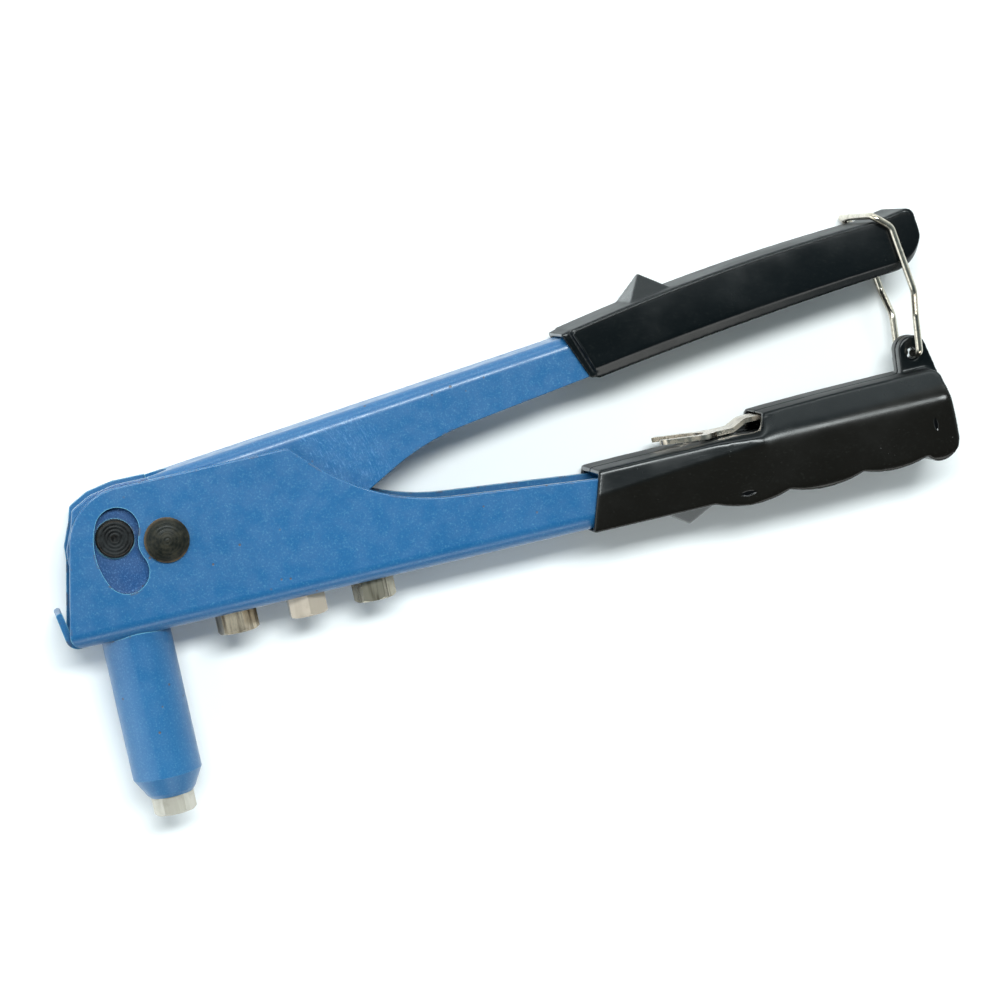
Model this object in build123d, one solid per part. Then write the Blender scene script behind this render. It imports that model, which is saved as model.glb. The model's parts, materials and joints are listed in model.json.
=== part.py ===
"""Hand riveter (lever-operated blind-rivet tool), lying on its side.

Axes: +X runs from the nose end to the ends of the two handles, +Y runs away from the nosepiece,
+Z is up out of the flat side the tool lies on. Shapes are drawn about the handle pivot and moved
at the end, so that the origin is the bottom centre of the bounding box.
"""
import math
import os

from build123d import *

# ---- driving dimensions, millimetres, about the pivot axis --------------------------------------
BODY_HALF = 11.5            # outer half width of the folded body channel
BODY_SHEET = 2.5
BODY_BEND = 4.5             # outer bend radius of the body channel
BODY_BOTTOM = -23.4         # outer face of the channel web
BODY_TOP = 16.35
LEVER_HALF = 8.7            # outer half width of the lever channel, 0.3 inside the body plates
LEVER_SHEET = 2.0
LEVER_BEND = 3.3
LEVER_SLOPE = 0.1           # rise of the lever web per millimetre of length
LEVER_WEB_AT_PIVOT = 16.9   # height of the web's outer face above the pivot
LEVER_SWEEP = 19.6          # radius of the lever's nose end, clear of the body web
TAIL_END = 197.0            # both steel channels end here, inside the grips

PIVOT_R = 4.0
PIVOT_HEAD_R = 6.0
PIVOT_HEAD_H = 3.0
SUPPORT_Z = -14.5           # the plane the tool lies on

PULL_R = 13.5               # radius of the pull pins about the pivot
PULL_ANGLE = 14.0           # their angle above the -X axis with the handles latched
PULL_PIN_R = 5.1
PULL_STEM_R = 3.0
PULL_FACE_Z = 10.9
SLOT_R = 13.3               # kidney slot that shows the pull pins
SLOT_HALF = 5.8
SLOT_UP = 24.8
SLOT_DOWN = -26.8

NOSE_X = -12.87             # axis of the nose housing and of the jaws
NOSE_R = 9.35
NOSE_KNEE = -62.0
NOSE_TIP = -67.8
NOSE_TIP_R = 6.6
CASE_R = 6.2
CASE_CLEAR = 0.1
NECK_R = 7.4
NUT_R = 8.6
NUT_TOP = -18.6
SEAT_Y = -19.6              # underside of the ring nut's flange, seat of the return spring

HEX_FLATS = 10.0            # hexagon of the nosepieces, across flats
THREAD_R = 3.5
FIT = 0.05                  # radial clearance of a running or screwed fit
MANDREL_BORES = {"2_4": 0.85, "3_2": 1.1, "4_0": 1.3, "4_8": 1.55}
SPARE_X = {"2_4": 14.2, "4_0": 33.4, "4_8": 51.9}
SPARE_TURN = {"2_4": 17.0, "4_0": 30.0, "4_8": 9.0}

CASE_BOTTOM = -50.0
CASE_TOP = -26.0
CONE_ANGLE = 9.0            # half angle of the jaw cone
CONE_MOUTH_R = 3.3
CONE_BOTTOM = -49.5
CONE_TOP = -37.5
JAW_TOP = -40.4
JAW_GAP = 0.3
TUBE_R = 3.5
TUBE_BORE = 2.2

LOWER_HALF = 14.5           # half width of the lower grip
LOWER_TOP_HALF = 8.8
FRONT_TOP_HALF = 12.4
GRIP_STEP = 162.4           # foot of the step in the lower grip's top
UPPER_HALF = 11.7
UPPER_BEVEL = 3.1           # height of the bevel along the upper grip's lower edges
UPPER_BEVEL_DEPTH = 1.9
MOUTH_HALF = 10.0           # the slimmer collar at the mouth of the upper grip
EAR_X = 210.3               # hinge of the latch bail in the ear of the lower grip
EAR_Y = 3.0
EAR_HALF = 4.0
EAR_HOLE_R = 1.65
WIRE_R = 0.95
BAIL_HALF = 13.5
BAIL_SKEW = 0.055           # the hand-bent wire sits a little askew

WRENCH_SHEET = 1.3
WRENCH_HALF = 7.6

EDGE_ROUND = 0.35           # deburred edges of the sheet parts
RING_GROOVE_R = 3.3
CASE_BORE = CONE_MOUTH_R + (CONE_TOP - CONE_BOTTOM) * math.tan(math.radians(CONE_ANGLE))
CONE_RISE = math.tan(math.radians(CONE_ANGLE))
PUSHER_SHOULDER = -36.2
LEVER_TILT = math.degrees(math.atan(LEVER_SLOPE))
PULL_X = -PULL_R * math.cos(math.radians(PULL_ANGLE))
PULL_Y = PULL_R * math.sin(math.radians(PULL_ANGLE))


# ---- helpers ------------------------------------------------------------------------------------
def outline(points, radii):
    """A closed face in the XY plane with its own radius at every corner."""
    return make_face(FilletPolyline(*points, radius=radii, close=True))


def slab(face, low, high):
    """The face stood up between two Z heights."""
    return extrude(Pos(0, 0, low) * face, high - low, dir=(0, 0, 1))


def turned(profile, x):
    """A solid of revolution about a line along Y; the profile is (radius, y) corners."""
    face = make_face(Polyline(*[(r, y) for r, y in profile], close=True))
    return Pos(x, 0, 0) * revolve(face, Axis.Y, 360)


def deburred(face, half):
    """The face as thick as the whole part, with rounded edges in its two outer planes."""
    block = slab(face, -half, half)
    rims = block.edges().filter_by_position(Axis.Z, half - 0.01, half + 0.01)
    rims += block.edges().filter_by_position(Axis.Z, -half - 0.01, -half + 0.01)
    return fillet(rims, EDGE_ROUND)


def rod(radius, low, high, x, y):
    """A cylinder along Z between two heights."""
    return Pos(x, y, (low + high) / 2) * Cylinder(radius, high - low)


def post(radius, low, high, x, z=0.0):
    """A cylinder along Y between two heights."""
    return Pos(x, (low + high) / 2, z) * Rot(90, 0, 0) * Cylinder(radius, high - low)


def box(x0, x1, y0, y1, z0, z1):
    return Pos((x0 + x1) / 2, (y0 + y1) / 2, (z0 + z1) / 2) * Box(x1 - x0, y1 - y0, z1 - z0)


def channel_section(half, sheet, bend, depth):
    """U section, web up at local y = 0, legs pointing down."""
    outer = Pos(0, -depth / 2) * Rectangle(2 * half, depth)
    outer = fillet(outer.vertices().group_by(Axis.Y)[-1], bend)
    inner = Pos(0, -sheet - depth / 2) * Rectangle(2 * (half - sheet), depth)
    inner = fillet(inner.vertices().group_by(Axis.Y)[-1], bend - sheet)
    return outer - inner


def kidney(radius, half_width, low_angle, high_angle):
    """Arc slot about the pivot on the nose side; angles are measured up from the -X axis."""
    def at(r, angle):
        a = math.radians(angle)
        return (-r * math.cos(a), r * math.sin(a))

    middle = (low_angle + high_angle) / 2
    outside = ThreePointArc(at(radius + half_width, low_angle), at(radius + half_width, middle),
                            at(radius + half_width, high_angle))
    inside = ThreePointArc(at(radius - half_width, high_angle), at(radius - half_width, middle),
                           at(radius - half_width, low_angle))
    joins = [Line(outside @ 1, inside @ 0), Line(inside @ 1, outside @ 0)]
    band = make_face([outside, joins[0], inside, joins[1]])
    low_end = Pos(*at(radius, low_angle)) * Circle(half_width)
    high_end = Pos(*at(radius, high_angle)) * Circle(half_width)
    return band + low_end + high_end


def spring(mean_r, wire_r, low, high, turns, x):
    """A coil about a line along Y."""
    coil = Helix(pitch=(high - low - 2 * wire_r) / turns, height=high - low - 2 * wire_r, radius=mean_r)
    section = Plane(coil @ 0, z_dir=coil % 0) * Circle(wire_r)
    return Pos(x, low + wire_r, 0) * Rot(-90, 0, 0) * sweep(section, path=coil, is_frenet=True)


# ---- fixed frame --------------------------------------------------------------------------------
def body_outline():
    points = [(-31.1, BODY_BOTTOM), (TAIL_END, BODY_BOTTOM), (TAIL_END, -12.0), (116.0, -10.2),
              (56.5, -3.8), (36.3, BODY_TOP), (-22.3, BODY_TOP)]
    return outline(points, [3.6, 2.0, 3.0, 6.0, 58.0, 1.2, 15.5])


def front_lip():
    """The end of the web, bent up in front of the nose housing."""
    inside = BODY_BOTTOM + BODY_SHEET
    points = [(-26.0, BODY_BOTTOM), (-31.0, BODY_BOTTOM), (-32.6, -13.3), (-30.9, -12.9),
              (-29.4, inside), (-26.0, inside)]
    return slab(outline(points, [0.0, 3.4, 0.7, 0.7, 0.9, 0.0]), -7.5, 7.5)


def body_frame():
    """Sheet steel folded to a channel, open on the side away from the nose."""
    section = channel_section(BODY_HALF, BODY_SHEET, BODY_BEND, 60)
    along = Plane(origin=(-60, BODY_BOTTOM, 0), x_dir=(0, 0, 1), z_dir=(1, 0, 0))
    body = extrude(along * section, 300) & deburred(body_outline(), BODY_HALF)
    body += front_lip()
    body -= slab(kidney(SLOT_R, SLOT_HALF, SLOT_DOWN, SLOT_UP), -20, 20)
    body -= rod(PIVOT_R + FIT, -20, 20, 0, 0)
    body -= post(NECK_R + FIT, BODY_BOTTOM - 1, BODY_BOTTOM + 5, NOSE_X)
    for x in SPARE_X.values():
        body -= post(THREAD_R + FIT, BODY_BOTTOM - 1, BODY_BOTTOM + 5, x)
    return body


def nose_housing():
    """Turned tube that guides the jaw case and carries the fitted nosepiece."""
    bore = CASE_R + CASE_CLEAR
    hole = THREAD_R + FIT
    floor = NOSE_TIP + 7.8
    profile = [(bore, floor), (bore, SEAT_Y - 0.05), (NECK_R, SEAT_Y - 0.05), (NECK_R, BODY_BOTTOM + 1.2),
               (NOSE_R, BODY_BOTTOM + 1.2), (NOSE_R, NOSE_KNEE), (NOSE_TIP_R, NOSE_TIP + 1.0),
               (NOSE_TIP_R - 0.9, NOSE_TIP), (hole, NOSE_TIP), (hole, floor)]
    above = Pos(0, 5) * Rectangle(2 * BODY_HALF, 10)
    above = fillet(above.vertices().group_by(Axis.Y)[0], BODY_BEND)
    seat = Plane(origin=(NOSE_X - 20, BODY_BOTTOM, 0), x_dir=(0, 0, -1), z_dir=(1, 0, 0)) * above
    around = post(NOSE_R + 1, BODY_BOTTOM - 1, BODY_BOTTOM + 3, NOSE_X) - post(NECK_R, -30, -10, NOSE_X)
    return turned(profile, NOSE_X) - (extrude(seat, 40) & around)


def housing_ring_nut():
    """Screwed on the neck inside the body; its flange is the seat of the return spring."""
    inside = NECK_R + FIT
    profile = [(TUBE_R + 0.4, SEAT_Y), (TUBE_R + 0.4, NUT_TOP), (NUT_R, NUT_TOP), (NUT_R, NUT_TOP - 1.1),
               (NUT_R - 0.7, NUT_TOP - 1.9), (inside, NUT_TOP - 1.9), (inside, SEAT_Y)]
    return turned(profile, NOSE_X)


def nosepiece(size, x, seat, head, turn):
    """Hexagon head below the seat, threaded shank and jaw-opening tail above it."""
    corner = HEX_FLATS / math.sqrt(3)
    hexagon = Plane.XZ * (Rot(0, 0, turn) * RegularPolygon(corner, 6))
    body = Pos(x, seat, 0) * extrude(hexagon, head)
    cap = turned([(0, seat + 1), (corner + 1, seat + 1), (corner + 1, seat - head + 1.4),
                  (corner - 0.75, seat - head), (0, seat - head)], x)
    shank = turned([(0, seat - 0.5), (THREAD_R, seat - 0.5), (THREAD_R, seat + 6.2), (2.6, seat + 7.0),
                    (2.6, seat + 8.0), (1.9, seat + 8.8), (0, seat + 8.8)], x)
    bore = post(MANDREL_BORES[size], seat - head - 1, seat + 10, x)
    return (body & cap) + shank - bore


def pivot_pin():
    """Rivet-like pin with a low domed head; the far end carries a washer and a retaining ring."""
    crown = PIVOT_HEAD_H - 0.9
    ball = (PIVOT_HEAD_R ** 2 + crown ** 2) / (2 * crown)
    top = BODY_HALF + PIVOT_HEAD_H
    rim = BODY_HALF + 0.9
    mid = PIVOT_HEAD_R / 2
    mid_z = top - ball + math.sqrt(ball ** 2 - mid ** 2)
    lines = [Polyline((0, SUPPORT_Z), (PIVOT_R - 0.4, SUPPORT_Z), (PIVOT_R, SUPPORT_Z + 0.4),
                      (PIVOT_R, -13.6), (RING_GROOVE_R, -13.6), (RING_GROOVE_R, -12.65), (PIVOT_R, -12.65),
                      (PIVOT_R, BODY_HALF), (PIVOT_HEAD_R, BODY_HALF), (PIVOT_HEAD_R, rim)),
             ThreePointArc((PIVOT_HEAD_R, rim), (mid, mid_z), (0, top)),
             Line((0, top), (0, SUPPORT_Z))]
    return revolve(Plane.XZ * make_face(lines), Axis.Z, 360)


def pivot_washer():
    ring = Circle(6.6) - Circle(PIVOT_R + FIT)
    return slab(ring, -BODY_HALF - 1.0, -BODY_HALF)


def pivot_retaining_ring():
    """Open ring in the groove of the pivot pin."""
    ring = Circle(5.9) - Circle(RING_GROOVE_R + FIT)
    mouth = Pos(5, 0) * Rectangle(10, 3.4)
    notch = Pos(RING_GROOVE_R, 0) * Circle(1.9)
    return slab(ring - mouth - notch, -13.55, -12.7)


def lower_grip_outline():
    """Side view: step for the spanner on top, four finger lobes below."""
    rear_top = (212.4, -2.0)
    edges = [Line((111.4, -24.2), (146.0, -24.2)),
             ThreePointArc((146.0, -24.2), (156.5, -26.5), (166.6, -24.6)),
             ThreePointArc((166.6, -24.6), (177.0, -26.5), (187.6, -24.5)),
             ThreePointArc((187.6, -24.5), (197.0, -26.1), (206.0, -24.4)),
             ThreePointArc((206.0, -24.4), (209.4, -26.6), (212.7, -25.7)),
             ThreePointArc((212.7, -25.7), (215.1, -23.4), (215.8, -20.0)),
             ThreePointArc((215.8, -20.0), (215.8, -11.5), (214.9, -4.6)),
             ThreePointArc((214.9, -4.6), (214.2, -2.7), rear_top),
             ThreePointArc(rear_top, (188.0, -2.2), (164.2, -3.0)),
             Line((164.2, -3.0), (GRIP_STEP, -7.5)),
             Line((GRIP_STEP, -7.5), (116.6, -8.0)),
             Line((116.6, -8.0), (111.4, -24.2))]
    return make_face(edges)


def lower_grip_section(top_half, crease):
    """Cross-section: widest at the crease, leaning in towards the top, flat on both sides."""
    w = LOWER_HALF
    points = [(-w, -28.4), (w, -28.4), (w, crease), (top_half, 0.9), (-top_half, 0.9), (-w, crease)]
    return outline(points, [4.6, 4.6, 7.0, 1.5, 1.5, 7.0])


def lower_grip_plan():
    """Seen from above: the front half is slimmer, the rear corners are round."""
    front, rear = LOWER_HALF - 1.1, LOWER_HALF
    flank = [(108.0, front), (150.0, front), (163.0, rear), (217.5, rear)]
    points = flank + [(x, -z) for x, z in reversed(flank)]
    return outline(points, [0.0, 30.0, 30.0, 3.0, 3.0, 30.0, 30.0, 0.0])


def guard(apex, base, spread, sign):
    """Low pyramid that stops the hand from sliding forward on a grip."""
    (x0, y0), (x1, y1) = base
    side = make_face(Polyline((x0, y0), apex, (x1, y1), close=True))
    top = apex[1]
    foot = min(y0, y1) if sign > 0 else max(y0, y1)
    front = make_face(Polyline((-spread, foot), (spread, foot), (1.2, top), (-1.2, top), close=True))
    across = Plane(origin=(0, 0, 0), x_dir=(0, 0, -1), z_dir=(1, 0, 0)) * front
    return slab(side, -20, 20) & (Pos(100, 0, 0) * extrude(across, 100))


def lower_grip():
    """Hollow moulded grip: pocket for the body channel, slot for the spanner, ear for the bail."""
    side = slab(lower_grip_outline(), -20, 20)
    across = Plane(origin=(100, 0, 0), x_dir=(0, 0, -1), z_dir=(1, 0, 0))
    stock = extrude(across * lower_grip_section(LOWER_TOP_HALF, -9.5), 130)
    bevel = outline([(-20, -40), (20, -40), (20, -12.6), (FRONT_TOP_HALF, -7.6), (FRONT_TOP_HALF, 5),
                     (-FRONT_TOP_HALF, 5), (-FRONT_TOP_HALF, -7.6), (-20, -12.6)], [0.0] * 8)
    front = extrude(across * bevel, GRIP_STEP - 100)
    stock &= front + box(GRIP_STEP, 240, -60, 60, -20, 20)
    plan = extrude(Plane.XZ * lower_grip_plan(), 60, both=True)
    grip = side & stock & plan
    grip += guard((140.2, -29.2), ((132.4, -23.8), (147.4, -23.8)), 9.5, -1)
    ear = outline([(206.0, -3.0), (206.8, 7.8), (213.7, 7.8), (216.4, -4.2)], [0.0, 4.0, 3.3, 0.0])
    grip += slab(ear, -EAR_HALF, EAR_HALF)
    grip -= rod(EAR_HOLE_R, -10, 10, EAR_X, EAR_Y)
    pocket = BODY_HALF + 0.1
    grip -= box(100, TAIL_END + 0.2, BODY_BOTTOM - 0.1, -9.6, -pocket, pocket)
    grip -= box(158.5, 168.0, -8.8, -3.7, -8.6, 8.6)
    grip -= box(158.5, 200.0, -5.4, -3.7, -5.2, 5.2)
    return grip


def grip_halves(grip):
    """The moulding is two shells that meet on the middle plane."""
    near = grip & box(90, 240, -60, 60, 0, 30)
    far = grip & box(90, 240, -60, 60, -30, 0)
    return near, far


def nosepiece_wrench():
    """Flat open-ended spanner for the nosepieces, stowed in the slot of the lower grip."""
    half = WRENCH_SHEET / 2
    line = [(135.4, -5.05), (148.6, -6.35), (156.5, -6.35), (160.2, -4.55), (197.0, -4.55)]
    upper = [(x, y + half) for x, y in line]
    lower = [(x, y - half) for x, y in reversed(line)]
    strip = outline(upper + lower, [0.4, 3.0, 3.0, 3.0, 0.4, 0.4, 3.0, 3.0, 3.0, 0.4])
    strip = slab(strip, -WRENCH_HALF, WRENCH_HALF)
    jaw = HEX_FLATS / 2 + 0.1
    head = Pos(146.0, 0) * Circle(WRENCH_HALF)
    head += Pos(140.8, 0) * RectangleRounded(10.0, 2 * WRENCH_HALF, 2.6)
    handle = Pos(172.0, 0) * RectangleRounded(50.0, 9.8, 3.0)
    mouth = Pos(138.0, 0) * Rectangle(12.0, 2 * jaw) + Pos(144.0, 0) * Circle(jaw)
    plan = head + handle - mouth - Pos(191.5, 0) * Circle(1.8)
    return strip & (Pos(0, 10, 0) * extrude(Plane.XZ * plan, 20))


def latch_bail():
    """Spring wire: hooked into the ear of the lower grip, crossbar over the upper grip."""
    leg = [(EAR_X, EAR_Y, 3.0), (EAR_X, EAR_Y, 9.0), (211.1, 13.6, 9.5), (210.6, 20.4, BAIL_HALF),
           (208.7, 33.0, BAIL_HALF), (207.9, 38.6, BAIL_HALF), (203.2, 42.6, BAIL_HALF)]
    other = [(x - BAIL_SKEW * z, y, -z) for x, y, z in reversed(leg)]
    leg = [(x + BAIL_SKEW * z, y, z) for x, y, z in leg]
    bends = [1.6, 5.0, 5.0, 20.0, 3.0, 2.0]
    wire = FilletPolyline(*(leg + other), radius=bends + bends[::-1])
    section = Plane(origin=wire @ 0, z_dir=wire % 0) * Circle(WIRE_R)
    return sweep(section, path=wire)


# ---- lever --------------------------------------------------------------------------------------
def web_y(x):
    return LEVER_WEB_AT_PIVOT + LEVER_SLOPE * x


def lever_outline():
    """Side view of the lever; the nose end is an arc about the pivot."""
    def on_arc(angle):
        a = math.radians(angle)
        return (LEVER_SWEEP * math.cos(a), LEVER_SWEEP * math.sin(a))

    arc = ThreePointArc(on_arc(202), on_arc(246), on_arc(290))
    belly = FilletPolyline(arc @ 1, (24.0, -16.5), (73.1, 10.0), (121.5, 17.0), (127.0, 20.1),
                           (TAIL_END, 27.0), (TAIL_END, web_y(TAIL_END)), (-1.0, web_y(-1.0)),
                           radius=[8.0, 65.0, 0.0, 1.0, 3.0, 2.0])
    nose = FilletPolyline((-1.0, web_y(-1.0)), (-10.0, 16.9), (-17.0, 15.6), (-22.3, 12.8), (-23.6, 8.4),
                          (-26.0, 2.8), (-26.3, -1.4), arc @ 0, radius=[12.0, 6.0, 1.6, 3.0, 3.0, 1.0])
    return make_face([*arc.edges(), *belly.edges(), *nose.edges()])


def lever():
    """Sheet steel channel, web on the handle side, open where the spent mandrel comes out."""
    section = channel_section(LEVER_HALF, LEVER_SHEET, LEVER_BEND, 60)
    tilt = math.radians(LEVER_TILT)
    start = (-30.0, web_y(-30.0), 0)
    along = Plane(origin=start, x_dir=(0, 0, -1), z_dir=(math.cos(tilt), math.sin(tilt), 0))
    stock = extrude(along * section, 260)
    side = deburred(lever_outline(), LEVER_HALF)
    rear = stock & side & box(-1.0, 230, -60, 60, -20, 20)
    inner = LEVER_HALF - LEVER_SHEET
    cheeks = side & box(-40, -1.0, -60, 60, -LEVER_HALF, LEVER_HALF)
    cheeks -= box(-40, 0, -60, 60, -inner, inner)
    body = rear + cheeks
    body -= post(5.2, 10, 22, -0.4)
    body -= rod(PIVOT_R + FIT, -20, 20, 0, 0)
    body -= rod(PULL_PIN_R + 0.02, -20, 20, PULL_X, PULL_Y)
    return body


def pivot_bush():
    """Spacer between the two cheeks of the lever, turning on the pivot pin."""
    ring = Circle(5.6) - Circle(PIVOT_R + FIT)
    half = LEVER_HALF - LEVER_SHEET - 0.03
    return slab(ring, -half, half)


def pull_pin(side):
    """Stepped pin pressed into one cheek of the lever; the thin end works in the pull head."""
    inner = LEVER_HALF - LEVER_SHEET
    lines = Polyline((0, 3.2), (PULL_STEM_R, 3.2), (PULL_STEM_R, inner), (PULL_PIN_R, inner),
                     (PULL_PIN_R, PULL_FACE_Z - 0.5), (PULL_PIN_R - 0.5, PULL_FACE_Z),
                     (1.0, PULL_FACE_Z), (0, PULL_FACE_Z - 0.6), close=True)
    pin = Pos(PULL_X, PULL_Y, 0) * revolve(Plane.XZ * make_face(lines), Axis.Z, 360)
    return pin if side > 0 else mirror(pin, Plane.XY)


def upper_grip_outline(z, rise):
    """Side view of the upper grip at a height z, its lower edge raised for the bevel."""
    front = Line((116.9, 30.3), (122.3 - 0.375 * rise, 15.9 + rise))
    belly = ThreePointArc(front @ 1, (165.0, 21.8 + rise), (209.0, 26.3 + 0.8 * rise))
    heel = ThreePointArc(belly @ 1, (214.6 - 0.2 * rise, 29.4 + 0.4 * rise), (216.8, 35.0))
    end = Line(heel @ 1, (216.2, 40.6))
    corner = ThreePointArc(end @ 1, (215.3, 42.1), (213.5, 42.5))
    catch = Line(corner @ 1, (205.4, 41.0))
    top = ThreePointArc(catch @ 1, (160.0, 37.2), front @ 0)
    return Pos(0, 0, z) * make_face([front, belly, heel, end, corner, catch, top])


def upper_grip():
    """Slip-on moulded grip: arched top, bevelled lower edges, raised end that holds the bail."""
    inner = UPPER_HALF - UPPER_BEVEL_DEPTH
    grip = slab(upper_grip_outline(0.0, 0.0), -inner, inner)
    flank = loft([upper_grip_outline(inner, 0.0), upper_grip_outline(UPPER_HALF, UPPER_BEVEL)], ruled=True)
    grip = grip + flank + mirror(flank, Plane.XY)
    grip += guard((140.3, 40.6), ((133.8, 32.4), (148.4, 34.4)), 11.6, 1)
    mouth = outline([(114.4, 29.7), (122.0, 30.8), (127.5, 16.9), (120.1, 16.3)], [0.4, 0.0, 0.0, 1.0])
    grip += slab(mouth, -MOUTH_HALF, MOUTH_HALF)
    gap = LEVER_HALF + 0.1
    pocket = outline([(105.0, 12.0), (121.0, 15.0), (127.0, 19.7), (TAIL_END + 0.2, 26.8),
                      (TAIL_END + 0.2, web_y(TAIL_END) + 0.12), (105.0, web_y(105.0) + 0.1)], [0.0] * 6)
    return grip - slab(pocket, -gap, gap)


# ---- jaw carriage -------------------------------------------------------------------------------
def pull_head():
    """Block drawn up by the pull pins; its side slots are longer than the pins are thick."""
    head = Pos(NOSE_X, PULL_Y - 0.5, 0) * Box(11.2, 12.0, 12.6)
    head = fillet(head.edges().filter_by(Axis.Z), 2.0)
    head -= post(TUBE_BORE + 0.1, -20, 20, NOSE_X)
    head -= post(TUBE_R + 0.03, -20, 0.2, NOSE_X)
    slot = Pos(NOSE_X, PULL_Y) * SlotCenterToCenter(1.6, 2 * PULL_STEM_R + 0.4)
    return head - slab(slot, 2.9, 10) - slab(slot, -10, -2.9)


def draw_tube():
    """Hollow rod between the pull head and the jaw case; the spent mandrel leaves through it."""
    flange = CASE_BORE - FIT
    profile = [(TUBE_BORE, CASE_TOP - 3.0), (flange, CASE_TOP - 3.0), (flange, CASE_TOP),
               (TUBE_R, CASE_TOP), (TUBE_R, 0.1), (TUBE_BORE, 0.1)]
    return turned(profile, NOSE_X)


def jaw_case():
    """Sleeve with an inner cone that closes the jaws when it is drawn up."""
    profile = [(CONE_MOUTH_R, CASE_BOTTOM), (CONE_MOUTH_R, CONE_BOTTOM), (CASE_BORE, CONE_TOP),
               (CASE_BORE, CASE_TOP), (CASE_R, CASE_TOP), (CASE_R, CASE_BOTTOM + 0.8),
               (CASE_R - 0.8, CASE_BOTTOM)]
    return turned(profile, NOSE_X)


def jaw(side):
    """Half of a toothed cone that grips the mandrel."""
    low = CONE_BOTTOM + 0.2
    skin = 0.06
    bottom_r = CONE_MOUTH_R + 0.2 * CONE_RISE - skin
    top_r = CONE_MOUTH_R + (JAW_TOP - CONE_BOTTOM) * CONE_RISE - skin
    teeth = [(1.5, low), (0.8, low + 1.0)]
    y = low + 1.0
    while y + 0.8 < JAW_TOP - 0.4:
        teeth += [(1.15, y + 0.4), (0.8, y + 0.8)]
        y += 0.8
    profile = teeth + [(1.3, JAW_TOP), (top_r, JAW_TOP), (bottom_r, low)]
    cone = turned(profile, NOSE_X)
    half = box(NOSE_X + JAW_GAP / 2, NOSE_X + 8, -55, -30, -8, 8)
    if side < 0:
        half = box(NOSE_X - 8, NOSE_X - JAW_GAP / 2, -55, -30, -8, 8)
    return cone & half


def jaw_pusher():
    """Sprung sleeve that holds the jaws down in the cone."""
    profile = [(1.7, JAW_TOP + 0.1), (4.3, JAW_TOP + 0.1), (4.3, PUSHER_SHOULDER), (2.9, PUSHER_SHOULDER),
               (2.9, PUSHER_SHOULDER + 2.7), (1.7, PUSHER_SHOULDER + 2.7)]
    return turned(profile, NOSE_X)


# ---- assembly -----------------------------------------------------------------------------------
def assembly():
    near, far = grip_halves(lower_grip())
    parts = {
        "body_frame": body_frame(),
        "nose_housing": nose_housing(),
        "housing_ring_nut": housing_ring_nut(),
        "nosepiece_3_2": nosepiece("3_2", NOSE_X, NOSE_TIP, 5.0, 4.0),
        "pivot_pin": pivot_pin(),
        "pivot_washer": pivot_washer(),
        "pivot_retaining_ring": pivot_retaining_ring(),
        "lower_grip_left": near,
        "lower_grip_right": far,
        "nosepiece_wrench": nosepiece_wrench(),
        "latch_bail": latch_bail(),
        "lever": lever(),
        "pivot_bush": pivot_bush(),
        "pull_pin_left": pull_pin(1),
        "pull_pin_right": pull_pin(-1),
        "upper_grip": upper_grip(),
        "pull_head": pull_head(),
        "draw_tube": draw_tube(),
        "jaw_case": jaw_case(),
        "jaw_front": jaw(-1),
        "jaw_rear": jaw(1),
        "jaw_pusher": jaw_pusher(),
        "jaw_spring": spring(4.1, 0.45, PUSHER_SHOULDER + 0.05, CASE_TOP - 3.05, 5, NOSE_X),
        "return_spring": spring(4.9, 0.5, CASE_TOP + 0.05, SEAT_Y - 0.05, 4, NOSE_X),
    }
    for size, x in SPARE_X.items():
        parts["nosepiece_" + size] = nosepiece(size, x, BODY_BOTTOM, 5.9, SPARE_TURN[size])
    return parts


def base_shift(parts):
    """Vector from the pivot frame to the frame with its origin at the bottom centre."""
    boxes = [shape.bounding_box() for shape in parts.values()]
    middle_x = (min(b.min.X for b in boxes) + max(b.max.X for b in boxes)) / 2
    middle_y = (min(b.min.Y for b in boxes) + max(b.max.Y for b in boxes)) / 2
    return Vector(-middle_x, -middle_y, -min(b.min.Z for b in boxes))


def main():
    parts = assembly()
    shift = base_shift(parts)
    os.makedirs("parts", exist_ok=True)
    for name, shape in parts.items():
        export_step(Pos(shift.X, shift.Y, shift.Z) * shape, "parts/" + name + ".step")
    print("pivot axis at x %.3f, y %.3f, middle plane at z %.3f" % (shift.X, shift.Y, shift.Z))


if __name__ == "__main__":
    main()
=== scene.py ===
"""Looks of the hand riveter: materials, rounded edges, small surface detail, floor, lights and camera."""

import json
import math

import bmesh
import bpy
from mathutils import Matrix, Vector


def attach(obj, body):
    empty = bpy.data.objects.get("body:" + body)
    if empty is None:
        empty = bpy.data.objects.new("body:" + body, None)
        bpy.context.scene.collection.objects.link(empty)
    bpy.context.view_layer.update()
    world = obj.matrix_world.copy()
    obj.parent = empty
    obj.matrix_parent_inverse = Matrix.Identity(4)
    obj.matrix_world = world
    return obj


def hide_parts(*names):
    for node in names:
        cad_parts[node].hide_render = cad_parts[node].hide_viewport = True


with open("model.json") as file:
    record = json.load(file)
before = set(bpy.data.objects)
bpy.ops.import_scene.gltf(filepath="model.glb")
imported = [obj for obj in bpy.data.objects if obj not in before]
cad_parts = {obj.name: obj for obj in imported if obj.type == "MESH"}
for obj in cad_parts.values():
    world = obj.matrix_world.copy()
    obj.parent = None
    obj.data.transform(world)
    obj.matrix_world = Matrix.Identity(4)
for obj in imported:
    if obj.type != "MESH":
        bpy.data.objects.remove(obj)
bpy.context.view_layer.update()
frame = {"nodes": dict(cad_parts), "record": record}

MM = 0.001
TURN = 2 * math.pi
JOINTS = {joint["name"]: joint for joint in frame["record"]["behaviour"]["joints"]}
PIVOT = Vector(JOINTS["lever_hinge"]["pos_m"])


def from_pivot(x, y, z=0.0):
    """A place given in millimetres about the pivot, in the row frame."""
    return PIVOT + Vector((x, y, z)) * MM


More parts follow.
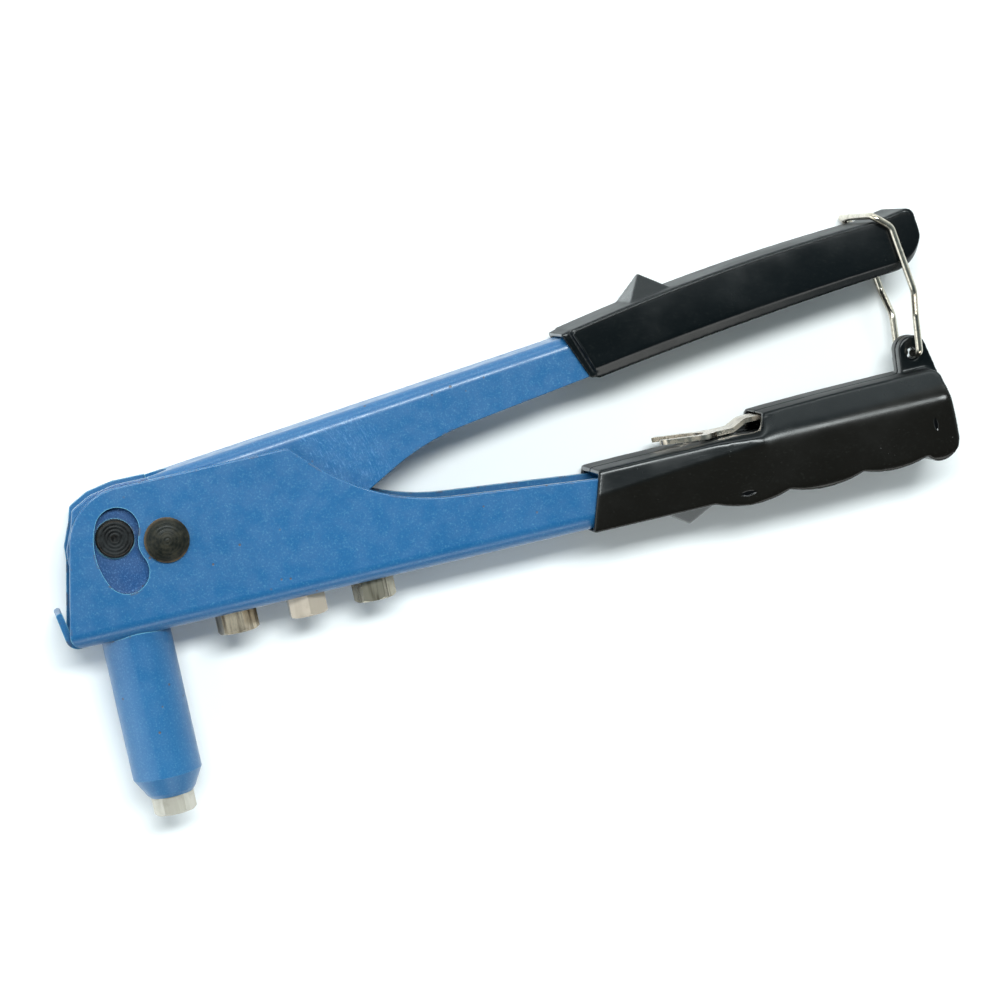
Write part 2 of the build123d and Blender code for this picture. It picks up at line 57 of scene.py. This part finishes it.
# ---- small node helpers -------------------------------------------------------------------------
EDGE_SAMPLES = 6
FLAT_COSINE, SHARP_COSINE = 0.995, 0.80
COAT_ROUGHNESS = 0.12


class Tree:
    """A material's node tree with short calls for the nodes used here."""

    def __init__(self, name):
        self.material = bpy.data.materials.new(name)
        self.material.use_nodes = True
        self.nodes = self.material.node_tree.nodes
        self.links = self.material.node_tree.links
        self.shader = self.nodes["Principled BSDF"]
        self.place = self.nodes.new("ShaderNodeTexCoord").outputs["Object"]

    def feed(self, value, socket):
        """Links a socket, or sets a plain value."""
        if isinstance(value, bpy.types.NodeSocket):
            self.links.new(value, socket)
        else:
            socket.default_value = value

    def mapped(self, scale=(1, 1, 1), origin=(0, 0, 0), turn=(0, 0, 0)):
        """Object coordinates moved to origin, turned, then stretched."""
        shift = self.nodes.new("ShaderNodeVectorMath")
        shift.operation = "SUBTRACT"
        self.links.new(self.place, shift.inputs[0])
        shift.inputs[1].default_value = origin
        node = self.nodes.new("ShaderNodeMapping")
        self.links.new(shift.outputs[0], node.inputs["Vector"])
        node.inputs["Rotation"].default_value = turn
        node.inputs["Scale"].default_value = scale
        return node.outputs["Vector"]

    def noise(self, scale, detail=3.0, rough=0.5, place=None, warp=0.0):
        """Smooth noise around 0.5, with scale features to the metre."""
        node = self.nodes.new("ShaderNodeTexNoise")
        self.links.new(place or self.place, node.inputs["Vector"])
        node.inputs["Scale"].default_value = scale
        node.inputs["Detail"].default_value = detail
        node.inputs["Roughness"].default_value = rough
        node.inputs["Distortion"].default_value = warp
        return node.outputs["Fac"]

    def cells(self, scale):
        """Distance from the centres of scattered cells."""
        node = self.nodes.new("ShaderNodeTexVoronoi")
        self.links.new(self.place, node.inputs["Vector"])
        node.inputs["Scale"].default_value = scale
        return node.outputs["Distance"]

    def ramp(self, value, low, high, start=0.0, end=1.0):
        """The value stretched so that low gives start and high gives end, with soft ends."""
        node = self.nodes.new("ShaderNodeMapRange")
        node.interpolation_type = "SMOOTHSTEP"
        self.links.new(value, node.inputs["Value"])
        node.inputs["From Min"].default_value = low
        node.inputs["From Max"].default_value = high
        node.inputs["To Min"].default_value = start
        node.inputs["To Max"].default_value = end
        return node.outputs["Result"]

    def math(self, operation, a, b=0.0):
        """One arithmetic step on two sockets or values."""
        node = self.nodes.new("ShaderNodeMath")
        node.operation = operation
        self.feed(a, node.inputs[0])
        self.feed(b, node.inputs[1])
        return node.outputs[0]

    def mix(self, fac, a, b):
        """Colour a where fac is 0, and b where it is 1."""
        node = self.nodes.new("ShaderNodeMix")
        node.data_type = "RGBA"
        self.feed(fac, node.inputs["Factor"])
        self.feed(a, node.inputs["A"])
        self.feed(b, node.inputs["B"])
        return node.outputs["Result"]

    def part(self, axis, place):
        """One component of a vector."""
        node = self.nodes.new("ShaderNodeSeparateXYZ")
        self.links.new(place, node.inputs[0])
        return node.outputs[axis]

    def length(self, place):
        """The length of a vector."""
        node = self.nodes.new("ShaderNodeVectorMath")
        node.operation = "LENGTH"
        self.links.new(place, node.inputs[0])
        return node.outputs["Value"]

    def edge(self, radius):
        """About 0 on flat stretches and 1 on edges sharper than the radius."""
        soft = self.nodes.new("ShaderNodeBevel")
        soft.samples = EDGE_SAMPLES
        soft.inputs["Radius"].default_value = radius
        true = self.nodes.new("ShaderNodeNewGeometry").outputs["Normal"]
        dot = self.nodes.new("ShaderNodeVectorMath")
        dot.operation = "DOT_PRODUCT"
        self.links.new(soft.outputs[0], dot.inputs[0])
        self.links.new(true, dot.inputs[1])
        return self.ramp(dot.outputs["Value"], FLAT_COSINE, SHARP_COSINE)

    def bump(self, height, strength, distance, under=None):
        """Relief of the given depth, laid over the relief under it."""
        node = self.nodes.new("ShaderNodeBump")
        node.inputs["Strength"].default_value = strength
        node.inputs["Distance"].default_value = distance
        self.links.new(height, node.inputs["Height"])
        if under is not None:
            self.links.new(under, node.inputs["Normal"])
        return node.outputs["Normal"]

    def finish(self, colour, roughness, normal=None, metallic=0.0, coat=0.0, specular=0.5):
        """Joins the colour, roughness and relief to the shader, and gives back the material."""
        self.feed(colour, self.shader.inputs["Base Color"])
        self.feed(roughness, self.shader.inputs["Roughness"])
        self.shader.inputs["Metallic"].default_value = metallic
        self.shader.inputs["Coat Weight"].default_value = coat
        self.shader.inputs["Coat Roughness"].default_value = COAT_ROUGHNESS
        self.shader.inputs["Specular IOR Level"].default_value = specular
        if normal is not None:
            self.links.new(normal, self.shader.inputs["Normal"])
        return self.material


def rgb(r, g, b):
    """An sRGB colour from 0 to 255 as scene-linear RGBA."""
    def linear(value):
        value /= 255.0
        return value / 12.92 if value <= 0.04045 else ((value + 0.055) / 1.055) ** 2.4
    return (linear(r), linear(g), linear(b), 1.0)


# ---- materials ----------------------------------------------------------------------------------
BLUE = rgb(24, 89, 138)
BLUE_DEEP = rgb(22, 86, 134)
BLUE_PALE = rgb(118, 182, 202)
SCUFFED = rgb(86, 134, 182)
SHADED = rgb(16, 64, 116)
PRIMER = rgb(78, 62, 50)
PIN_CENTRE = from_pivot(-13.10, 3.27)
FLANK_START, FLANK_END = 8.2 * MM, 8.5 * MM
SLOT_REACH = (24 * MM, 21 * MM)
RUB_START, RUB_END = (42 * MM, 45 * MM), (66 * MM, 60 * MM)
PIN_LIP_INNER, PIN_LIP_OUTER = (5.0 * MM, 5.2 * MM), (5.7 * MM, 5.4 * MM)
PIN_LIP_BELOW = (-1.0 * MM, -3.0 * MM)
PAINT_EDGE, CHIP_EDGE = 0.5 * MM, 1.4 * MM
GRAIN_SCALE = 2100.0


def around_pivot(t, radial, angular):
    """Coordinates that run along arcs about the pivot, and the distance from the pivot in metres."""
    local = t.mapped((1, 1, 1), PIVOT)
    x, y, z = (t.part(axis, local) for axis in ("X", "Y", "Z"))
    square = t.math("ADD", t.math("MULTIPLY", x, x), t.math("MULTIPLY", y, y))
    radius = t.math("SQRT", square)
    angle = t.math("ARCTAN2", y, x)
    join = t.nodes.new("ShaderNodeCombineXYZ")
    t.links.new(t.math("MULTIPLY", radius, radial), join.inputs["X"])
    t.links.new(t.math("MULTIPLY", angle, angular), join.inputs["Y"])
    t.links.new(t.math("MULTIPLY", z, radial), join.inputs["Z"])
    return join.outputs[0], radius


def blue_paint(name, base=BLUE, deep=BLUE_DEEP, worn_with_painted_light=False):
    """Satin enamel on sheet steel: fine grain, orange peel, pale edges that are partly thin paint and
    partly a painted highlight, chips.
    """
    t = Tree(name)
    drift = t.noise(24.0, 2.0)
    grain = t.noise(GRAIN_SCALE, 2.0, 0.65)
    rim = t.edge(PAINT_EDGE)
    colour = t.mix(t.ramp(drift, 0.35, 0.65), base, deep)
    colour = t.mix(t.ramp(grain, 0.50, 0.80, 0.0, 0.20), colour, BLUE_PALE)
    colour = t.mix(t.ramp(grain, 0.46, 0.26, 0.0, 0.22), colour, SHADED)
    if worn_with_painted_light:
        arcs, radius = around_pivot(t, 2400.0, 26.0)
        streak = t.noise(1.0, 5.0, 0.75, arcs, 0.5)
        depth = t.math("ABSOLUTE", t.part("Z", t.mapped((1, 1, 1), PIVOT)))
        flank = t.ramp(depth, FLANK_START, FLANK_END)
        in_slot = t.math("MULTIPLY", flank, t.ramp(radius, *SLOT_REACH))
        # Painted shade: the lever's flank near the pivot, seen through the body's slot, is darkened towards
        # SHADED.
        colour = t.mix(t.math("MULTIPLY", in_slot, 0.85), colour, SHADED)
        behind_plate = t.math("MULTIPLY", t.ramp(radius, *RUB_START), t.ramp(radius, *RUB_END))
        behind_plate = t.math("MULTIPLY", behind_plate, flank)
        touched = t.math("MAXIMUM", in_slot, behind_plate)
        scuffs = t.math("MULTIPLY", touched, t.ramp(streak, 0.50, 0.72, 0.0, 0.8))
        colour = t.mix(scuffs, colour, SCUFFED)
        # Painted highlight: a pale crescent on the lip of the pin's hole, only on the side below the pull
        # pin.
        from_pin = t.length(t.mapped((1, 1, 0), PIN_CENTRE))
        below = t.ramp(t.part("Y", t.mapped((1, 1, 1), PIN_CENTRE)), *PIN_LIP_BELOW)
        lip_highlight = t.math("MULTIPLY", t.ramp(from_pin, *PIN_LIP_INNER), t.ramp(from_pin, *PIN_LIP_OUTER))
        lip_highlight = t.math("MULTIPLY", t.math("MULTIPLY", lip_highlight, below), flank)
        colour = t.mix(t.math("MULTIPLY", lip_highlight, 0.6), colour, BLUE_PALE)
    # Pale edges: partly thin paint, partly a painted highlight along every sharp edge.
    colour = t.mix(t.math("MULTIPLY", rim, 0.72), colour, BLUE_PALE)
    ragged = t.ramp(t.noise(190.0, 5.0, 0.65), 0.565, 0.60)
    chip_field = t.math("MULTIPLY", t.edge(CHIP_EDGE), ragged)
    specks = t.ramp(t.cells(230.0), 0.10, 0.06)
    fleck = t.math("MULTIPLY", specks, t.ramp(t.noise(36.0, 2.0), 0.50, 0.56))
    bare = t.math("MAXIMUM", chip_field, fleck)
    colour = t.mix(t.math("MULTIPLY", bare, 0.80), colour, PRIMER)
    rough = t.ramp(t.noise(220.0, 3.0), 0.3, 0.7, 0.30, 0.42)
    rough = t.math("ADD", rough, t.math("MULTIPLY", bare, 0.25))
    peel = t.bump(t.noise(750.0, 2.0, 0.4), 0.10, 0.10 * MM)
    dents = t.bump(t.noise(60.0, 2.0), 0.02, 0.15 * MM, peel)
    pits = t.bump(t.math("SUBTRACT", 1.0, bare), 0.5, 0.06 * MM, dents)
    return t.finish(colour, rough, pits, coat=0.15)


PLASTIC_COLD, PLASTIC_WARM, PLASTIC_BROWN = rgb(6, 10, 12), rgb(11, 15, 17), rgb(17, 15, 12)
PLASTIC_GRAIN, PLASTIC_DUST, PLASTIC_RUBBED = rgb(52, 54, 50), rgb(120, 122, 118), rgb(84, 92, 98)
GATE_HOLLOW_SHADE = rgb(2, 2, 3)
CREASE_BLEND = 1.0 * MM
PLASTIC_EDGE = 0.4 * MM


def black_plastic(name, brown_below=None, marks=(), specular=0.36):
    """Injection-moulded grip: flow lines, handling scratches, dust, gate marks with painted shade in their
    hollows, a browner lower part.
    """
    t = Tree(name)
    flow = t.noise(1.0, 3.0, 0.5, t.mapped((18, 70, 70)))
    colour = t.mix(t.ramp(flow, 0.35, 0.7), PLASTIC_COLD, PLASTIC_WARM)
    local = t.mapped((1, 1, 1), PIVOT)
    if brown_below:
        (front, front_y), (rear, rear_y) = brown_below
        slope = (rear_y - front_y) / (rear - front)
        line = t.math("MULTIPLY", t.part("X", local), slope)
        above = t.math("SUBTRACT", t.part("Y", local), line)
        level = (front_y - slope * front) * MM
        brown = t.ramp(above, level + CREASE_BLEND, level - CREASE_BLEND)
        colour = t.mix(brown, colour, PLASTIC_BROWN)
    grain = t.noise(1500.0, 2.0, 0.6)
    colour = t.mix(t.ramp(grain, 0.55, 0.8, 0.0, 0.18), colour, PLASTIC_GRAIN)
    dust = t.ramp(t.cells(700.0), 0.15, 0.05)
    dust = t.math("MULTIPLY", dust, t.ramp(t.noise(110.0, 3.0), 0.60, 0.7, 0.0, 0.30))
    colour = t.mix(dust, colour, PLASTIC_DUST)
    rim = t.edge(PLASTIC_EDGE)
    colour = t.mix(t.math("MULTIPLY", rim, 0.25), colour, PLASTIC_RUBBED)
    rough = t.ramp(t.noise(45.0, 4.0, 0.6), 0.35, 0.7, 0.17, 0.28)
    rough = t.math("ADD", rough, t.math("MULTIPLY", rim, 0.10))
    upward = t.part("Y", t.nodes.new("ShaderNodeTexCoord").outputs["Normal"])
    rough = t.math("ADD", rough, t.ramp(upward, 0.5, 0.9, 0.0, 0.30))
    scratch = t.noise(1.0, 4.0, 0.7, t.mapped((60, 900, 900), turn=(0, 0, 0.25)), 0.6)
    scratches = t.bump(t.ramp(scratch, 0.62, 0.70), 0.10, 0.03 * MM)
    relief = t.bump(t.noise(55.0, 2.0), 0.22, 0.30 * MM, scratches)
    for x, y, half_x, half_y in marks:
        scale = (1 / (half_x * MM), 1 / (half_y * MM), 0)
        hollow = t.ramp(t.length(t.mapped(scale, from_pivot(x, y))), 1.15, 0.75)
        # Painted shade: the hollow of each gate mark is darkened.
        colour = t.mix(hollow, colour, GATE_HOLLOW_SHADE)
        relief = t.bump(t.math("SUBTRACT", 1.0, hollow), 0.6, 0.25 * MM, relief)
    return t.finish(colour, rough, relief, specular=specular)


RING_PITCH = 0.95 * MM
RIM_BROWN = rgb(104, 86, 68)
PIN_EDGE = 0.6 * MM
RUBBED_BAND = 1.2


def black_oxide(name, centre, light, dark, head=7.0):
    """Blackened steel pin with a turned end face, brown where it is rubbed; head is its radius in mm."""
    t = Tree(name)
    radius = t.length(t.mapped((1, 1, 0), centre))
    rings = t.math("SINE", t.math("MULTIPLY", radius, TURN / RING_PITCH))
    mottle = t.noise(420.0, 5.0, 0.7)
    colour = t.mix(t.ramp(mottle, 0.40, 0.68), dark, light)
    colour = t.mix(t.ramp(rings, 0.2, 1.0, 0.0, 0.30), colour, light)
    outer = t.ramp(radius, (head - RUBBED_BAND) * MM, head * MM)
    outer = t.math("MAXIMUM", t.edge(PIN_EDGE), outer)
    rim = t.math("MULTIPLY", outer, t.ramp(t.noise(180.0, 3.0), 0.4, 0.62))
    colour = t.mix(t.math("MULTIPLY", rim, 0.7), colour, RIM_BROWN)
    rough = t.ramp(mottle, 0.3, 0.7, 0.34, 0.55)
    turned = t.bump(rings, 0.50, 0.05 * MM)
    grain = t.bump(mottle, 0.35, 0.06 * MM, turned)
    return t.finish(colour, rough, grain, specular=0.16)


PLATING_EDGE = 0.35 * MM


def plated_steel(name, light, dark, grain=(250, 2600, 250), rough=(0.22, 0.42), metallic=1.0, streaks=0.35):
    """Bright plating over machined steel, with tool marks along one way and dull stains."""
    t = Tree(name)
    marks = t.noise(1.0, 4.0, 0.6, t.mapped(grain))
    stain = t.noise(160.0, 4.0, 0.6)
    colour = t.mix(t.ramp(stain, 0.50, 0.80), light, dark)
    colour = t.mix(t.ramp(marks, 0.45, 0.62, 0.0, streaks), colour, dark)
    colour = t.mix(t.math("MULTIPLY", t.edge(PLATING_EDGE), 0.6), colour, light)
    roughness = t.ramp(marks, 0.3, 0.7, *rough)
    return t.finish(colour, roughness, t.bump(marks, 0.22, 0.03 * MM), metallic=metallic)


def floor_finish(name):
    """Pale paper, nearly even."""
    t = Tree(name)
    shade = t.ramp(t.noise(3.0, 2.0), 0.3, 0.7)
    colour = t.mix(shade, rgb(250, 250, 250), rgb(245, 246, 247))
    rough = t.ramp(t.noise(200.0, 3.0), 0.3, 0.7, 0.65, 0.8)
    return t.finish(colour, rough, specular=0.2)


EVEN_GRAIN, FINE_GRAIN = (900, 900, 900), (1500, 1500, 1500)
FLAT_GRAIN, AXIS_GRAIN = (300, 300, 1500), (420, 30, 420)
PIVOT_HEAD = 6.3
CREASE_LINE = ((112.0, -14.6), (163.0, -10.4))
END_MARK, MIDDLE_MARK = (209.8, -16.3, 0.6, 1.7), (155.1, -23.0, 2.0, 0.7)
LOWER_GRIP_SPECULAR = 0.34
FINISHES = {
    "body_frame": blue_paint("body_paint"),
    "lever": blue_paint("lever_paint", worn_with_painted_light=True),
    # The nose housing takes a lighter copy of the blue paint: painted light on the tube.
    "nose_housing": blue_paint("nose_paint", rgb(36, 98, 146), rgb(30, 90, 138)),
    "pivot_pin": black_oxide("pivot_black", PIVOT, rgb(46, 44, 35), rgb(18, 21, 18), PIVOT_HEAD),
    "pull_pin_left": black_oxide("pull_pin_black", PIN_CENTRE, rgb(30, 33, 34), rgb(8, 9, 10)),
    "pull_pin_right": black_oxide("pull_pin_black_far", PIN_CENTRE, rgb(30, 33, 34), rgb(8, 9, 10)),
    "latch_bail": plated_steel("bail_nickel", rgb(214, 205, 190), rgb(150, 138, 120), FINE_GRAIN,
                               (0.14, 0.26)),
    "nosepiece_wrench": plated_steel("spanner_nickel", rgb(208, 196, 180), rgb(140, 124, 106), FLAT_GRAIN,
                                     (0.18, 0.34)),
}
FINISHES["upper_grip"] = black_plastic("upper_grip_plastic")
FINISHES["lower_grip_left"] = black_plastic("lower_grip_left_plastic", CREASE_LINE,
                                            [END_MARK, MIDDLE_MARK], LOWER_GRIP_SPECULAR)
FINISHES["lower_grip_right"] = black_plastic("lower_grip_right_plastic", CREASE_LINE,
                                             [END_MARK], LOWER_GRIP_SPECULAR)
NOSEPIECE_TONES = {
    "3_2": (rgb(192, 186, 174), rgb(160, 154, 142), 0.25, 0.30),
    "2_4": (rgb(196, 182, 160), rgb(58, 44, 30), 0.80, 0.80),
    "4_0": (rgb(182, 168, 152), rgb(146, 134, 118), 0.25, 0.30),
    "4_8": (rgb(172, 164, 146), rgb(66, 58, 44), 0.65, 0.75),
}
for size, (light, dark, metallic, streaks) in NOSEPIECE_TONES.items():
    FINISHES["nosepiece_" + size] = plated_steel("nosepiece_%s_plating" % size, light, dark,
                                                 AXIS_GRAIN, (0.12, 0.24), metallic, streaks)
for inner in ("pull_head", "draw_tube", "jaw_case", "jaw_front", "jaw_rear", "jaw_pusher", "pivot_bush"):
    FINISHES[inner] = plated_steel(inner + "_steel", rgb(150, 150, 152), rgb(92, 92, 96), rough=(0.30, 0.5))
for wire in ("jaw_spring", "return_spring", "pivot_retaining_ring"):
    FINISHES[wire] = plated_steel(wire + "_steel", rgb(120, 122, 128), rgb(70, 72, 78), EVEN_GRAIN)
for zinc in ("housing_ring_nut", "pivot_washer"):
    FINISHES[zinc] = plated_steel(zinc + "_zinc", rgb(196, 198, 200), rgb(140, 144, 148), EVEN_GRAIN)

for name, node in frame["nodes"].items():
    node.data.materials.clear()
    node.data.materials.append(FINISHES[name])


# ---- moulded grips ------------------------------------------------------------------------------
def baked(piece):
    """The piece's modifiers made into its mesh."""
    bpy.context.view_layer.update()
    shaped = piece.evaluated_get(bpy.context.evaluated_depsgraph_get())
    piece.data = bpy.data.meshes.new_from_object(shaped)
    piece.modifiers.clear()


def smoothstep(value, start, end):
    """0 before start, 1 after end, and a soft rise between."""
    share = min(max((value - start) / (end - start), 0.0), 1.0)
    return share * share * (3.0 - 2.0 * share)


VOXEL = 0.42 * MM
WELD_DISTANCE = 1e-6
SMOOTH_FACTOR = 0.5
SOFTEN_PASSES, CREASE_PASSES = 9, 60


def moulded(name, body):
    """A copy of a CAD grip whose sharp edges are softened as a mould leaves them."""
    piece = bpy.data.objects.new(name + "_moulding", frame["nodes"][name].data.copy())
    bpy.context.collection.objects.link(piece)
    piece.modifiers.new("weld", "WELD").merge_threshold = WELD_DISTANCE
    remesh = piece.modifiers.new("remesh", "REMESH")
    remesh.mode = "VOXEL"
    remesh.voxel_size = VOXEL
    soften = piece.modifiers.new("soften", "SMOOTH")
    soften.factor = SMOOTH_FACTOR
    soften.iterations = SOFTEN_PASSES
    baked(piece)
    piece.data.materials.clear()
    piece.data.materials.append(FINISHES[name])
    piece.data.shade_smooth()
    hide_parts(name)
    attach(piece, body)
    return piece


SWELL_INNER, SWELL_HALF_HEIGHT = 11.0, 6.4
SWELL_FRONT, SWELL_MORE = 0.10, 0.14
SWELL_FROM, SWELL_TO = 125.0, 190.0
MIDDLE_FROM, MIDDLE_HEIGHT, MIDDLE_SLOPE, MIDDLE_BEND = 120.0, 24.6, 0.168, 0.00052


def crown_sides(piece):
    """The upper grip's two flanks swell a little, more towards the rear end."""
    for vertex in piece.data.vertices:
        x, y, z = (vertex.co - PIVOT) / MM
        along = x - MIDDLE_FROM
        middle = MIDDLE_HEIGHT + MIDDLE_SLOPE * along - MIDDLE_BEND * along ** 2
        across = (y - middle) / SWELL_HALF_HEIGHT
        if abs(z) < SWELL_INNER or abs(across) > 1.0:
            continue
        swell = SWELL_FRONT + SWELL_MORE * smoothstep(x, SWELL_FROM, SWELL_TO)
        vertex.co.z += math.copysign(swell * MM * (1.0 - across ** 2), z)


LEAN_INNER, LEAN_RISE, LEAN_END = 11.5, 6.0, 4.0
LEAN = 0.75


def lean_front(piece):
    """Above the crease line the front half of the lower grip's flank leans in a little."""
    (front, front_y), (rear, rear_y) = CREASE_LINE
    for vertex in piece.data.vertices:
        x, y, z = (vertex.co - PIVOT) / MM
        line = front_y + (rear_y - front_y) * (x - front) / (rear - front)
        if abs(z) < LEAN_INNER or y < line or x > rear + LEAN_END:
            continue
        share = (y - line) / LEAN_RISE * (1.0 - smoothstep(x, rear - LEAN_END, rear + LEAN_END))
        vertex.co.z -= math.copysign(LEAN * share * MM, z)


FOLD_HEIGHT, FOLD_HALF_WIDTH, FOLD_INNER = 9.2, 5.4, 8.5
FOLD_START, FOLD_END = 162.0, 213.5


def soften_crease(piece):
    """The fold along the lower grip's flank is a broad round."""
    crease = piece.vertex_groups.new(name="crease")
    for vertex in piece.data.vertices:
        x, y, z = (vertex.co - PIVOT) / MM
        near = 1.0 - abs(y + FOLD_HEIGHT) / FOLD_HALF_WIDTH
        if abs(z) > FOLD_INNER and near > 0.0 and FOLD_START < x < FOLD_END:
            crease.add([vertex.index], min(1.0, 2.0 * near), "REPLACE")
    smooth = piece.modifiers.new("crease", "SMOOTH")
    smooth.vertex_group = "crease"
    smooth.factor = SMOOTH_FACTOR
    smooth.iterations = CREASE_PASSES
    baked(piece)


BEAD_SIDES = 10
BEAD_END = 0.3


def bead(name, body, paths, radius):
    """Thin round beads along polylines, as one piece."""
    work = bmesh.new()
    for path in paths:
        rings = []
        for i, point in enumerate(path):
            before, after = path[max(i - 1, 0)], path[min(i + 1, len(path) - 1)]
            along = (after - before).normalized()
            side = along.cross(Vector((0, 0, 1))).normalized()
            over = side.cross(along)
            shrink = BEAD_END if i in (0, len(path) - 1) else 1.0
            ring = []
            for k in range(BEAD_SIDES):
                turn = TURN * k / BEAD_SIDES
                offset = side * math.cos(turn) + over * math.sin(turn)
                ring.append(work.verts.new(point + offset * radius * shrink))
            rings.append(ring)
        for low_ring, high_ring in zip(rings, rings[1:]):
            for k in range(BEAD_SIDES):
                n = (k + 1) % BEAD_SIDES
                work.faces.new((low_ring[k], low_ring[n], high_ring[n], high_ring[k]))
        work.faces.new(list(reversed(rings[0])))
        work.faces.new(rings[-1])
    bmesh.ops.recalc_face_normals(work, faces=work.faces)
    mesh = bpy.data.meshes.new(name)
    work.to_mesh(mesh)
    work.free()
    mesh.shade_smooth()
    mesh.materials.append(FINISHES["upper_grip"])
    piece = bpy.data.objects.new(name, mesh)
    bpy.context.collection.objects.link(piece)
    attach(piece, body)


FLANK, RIM_SUNK, RIM_RADIUS = 11.7, 0.12, 0.36 * MM
TOP_FRONT, TOP_REAR = (116.9, 30.3), (205.4, 41.0)
TOP_ARCH, RIM_BELOW_TOP = 6.4, 0.75
RIM_STATIONS = (124, 205, 8)


def upper_rim(side):
    """The raised rim up the front edge of the upper grip's flank and along under its top edge."""
    z = side * (FLANK - RIM_SUNK)
    points = [(121.6, 18.9), (119.4, 24.6), (117.7, 28.9), (118.0, 29.5), (118.8, 29.9)]
    for x in range(*RIM_STATIONS):
        share = (x - TOP_FRONT[0]) / (TOP_REAR[0] - TOP_FRONT[0])
        chord = TOP_FRONT[1] + (TOP_REAR[1] - TOP_FRONT[1]) * share
        points.append((x, chord + TOP_ARCH * share * (1.0 - share) - RIM_BELOW_TOP))
    points += [(209.0, 40.9), (212.6, 41.5), (214.6, 41.2), (215.4, 39.6)]
    return [from_pivot(x, y, z) for x, y in points]


upper = moulded("upper_grip", "lever")
crown_sides(upper)
bead("upper_grip_rims", "lever", [upper_rim(1), upper_rim(-1)], RIM_RADIUS)
for half in ("lower_grip_left", "lower_grip_right"):
    grip = moulded(half, "frame")
    lean_front(grip)
    soften_crease(grip)


# ---- floor, lights, camera ----------------------------------------------------------------------
FLOOR_HALF = 3.0
LENS, SENSOR_WIDTH, CLIP_START, CAMERA_DISTANCE = 123.9, 36.0, 0.01, 0.930
CAMERA_BACK, CAMERA_UP = Vector((-0.150, 0.108, 0.983)), Vector((0.2130, 0.9770, 0.0))
WORLD_STRENGTH = 1.15
DIM_FULL, DIM_START, DIM_SHARE = -0.50, 0.05, 0.40
HORIZON, SHOULDER = (0.92, 1.0, 1.0, 1.0), (0.62, 0.74, 0.77, 1.0)
UPPER_SKY, CEILING = (0.10, 0.14, 0.155, 1.0), (0.055, 0.085, 0.095, 1.0)


def add_floor():
    """A plain pale floor that reaches far past the part."""
    half = FLOOR_HALF
    mesh = bpy.data.meshes.new("floor")
    corners = [(-half, -half, 0), (half, -half, 0), (half, half, 0), (-half, half, 0)]
    mesh.from_pydata(corners, [], [(0, 1, 2, 3)])
    floor = bpy.data.objects.new("floor", mesh)
    bpy.context.collection.objects.link(floor)
    mesh.materials.append(floor_finish("floor_paper"))


def add_area(name, place, target, size, power, tint):
    """A rectangular soft light turned towards the target."""
    lamp = bpy.data.lights.new(name, "AREA")
    lamp.shape = "RECTANGLE"
    lamp.size, lamp.size_y = size
    lamp.energy = power
    lamp.color = tint
    thing = bpy.data.objects.new(name, lamp)
    thing.location = place
    thing.rotation_mode = "QUATERNION"
    thing.rotation_quaternion = (Vector(target) - Vector(place)).to_track_quat("-Z", "Y")
    bpy.context.collection.objects.link(thing)


def add_world():
    """A bright ring near the horizon under a dark ceiling, dimmer on the side below the tool."""
    world = bpy.data.worlds.new("studio")
    world.use_nodes = True
    nodes, links = world.node_tree.nodes, world.node_tree.links
    place = nodes.new("ShaderNodeTexCoord").outputs["Generated"]
    split = nodes.new("ShaderNodeSeparateXYZ")
    links.new(place, split.inputs[0])
    height = nodes.new("ShaderNodeValToRGB")
    links.new(split.outputs["Z"], height.inputs[0])
    ring = height.color_ramp.elements
    ring[0].position, ring[0].color = 0.0, HORIZON
    ring[1].position, ring[1].color = 1.0, CEILING
    ring.new(0.45).color = SHOULDER
    ring.new(0.80).color = UPPER_SKY
    shade = nodes.new("ShaderNodeMapRange")
    links.new(split.outputs["Y"], shade.inputs["Value"])
    shade.inputs["From Min"].default_value = DIM_FULL
    shade.inputs["From Max"].default_value = DIM_START
    shade.inputs["To Min"].default_value = DIM_SHARE
    shade.inputs["To Max"].default_value = 1.0
    shaded = nodes.new("ShaderNodeVectorMath")
    shaded.operation = "SCALE"
    links.new(height.outputs["Color"], shaded.inputs[0])
    links.new(shade.outputs["Result"], shaded.inputs["Scale"])
    background = nodes["Background"]
    links.new(shaded.outputs[0], background.inputs["Color"])
    background.inputs["Strength"].default_value = WORLD_STRENGTH
    bpy.context.scene.world = world


def add_camera():
    """Nearly straight down onto the tool's side, a little from the nose and from above the lever."""
    target = from_pivot(90.55, -11.02)
    back = CAMERA_BACK.normalized()
    data = bpy.data.cameras.new("camera")
    data.sensor_width = SENSOR_WIDTH
    data.lens = LENS
    data.clip_start = CLIP_START
    camera = bpy.data.objects.new("camera", data)
    bpy.context.collection.objects.link(camera)
    right = CAMERA_UP.cross(back).normalized()
    true_up = back.cross(right)
    turn = Matrix((right, true_up, back)).transposed()
    camera.matrix_world = Matrix.Translation(target + back * CAMERA_DISTANCE) @ turn.to_4x4()
    bpy.context.scene.camera = camera


bpy.context.scene.view_settings.view_transform = "Standard"
add_floor()
add_world()
add_area("key", (0.02, 0.46, 1.22), (0.02, 0, 0), (0.9, 0.22), 17.5, (0.93, 1.0, 1.0))
add_area("side", (-1.1, 0.1, 0.6), (0, 0, 0), (1.4, 1.4), 7.0, (0.94, 0.99, 1.0))
add_area("back", (0.2, -1.2, 0.7), (0, 0, 0), (1.2, 0.4), 4.0, (1.0, 0.99, 0.95))
add_area("front", (0.2, 1.2, 0.6), (0, 0, 0), (1.2, 0.4), 4.5, (0.92, 1.0, 1.0))
add_camera()
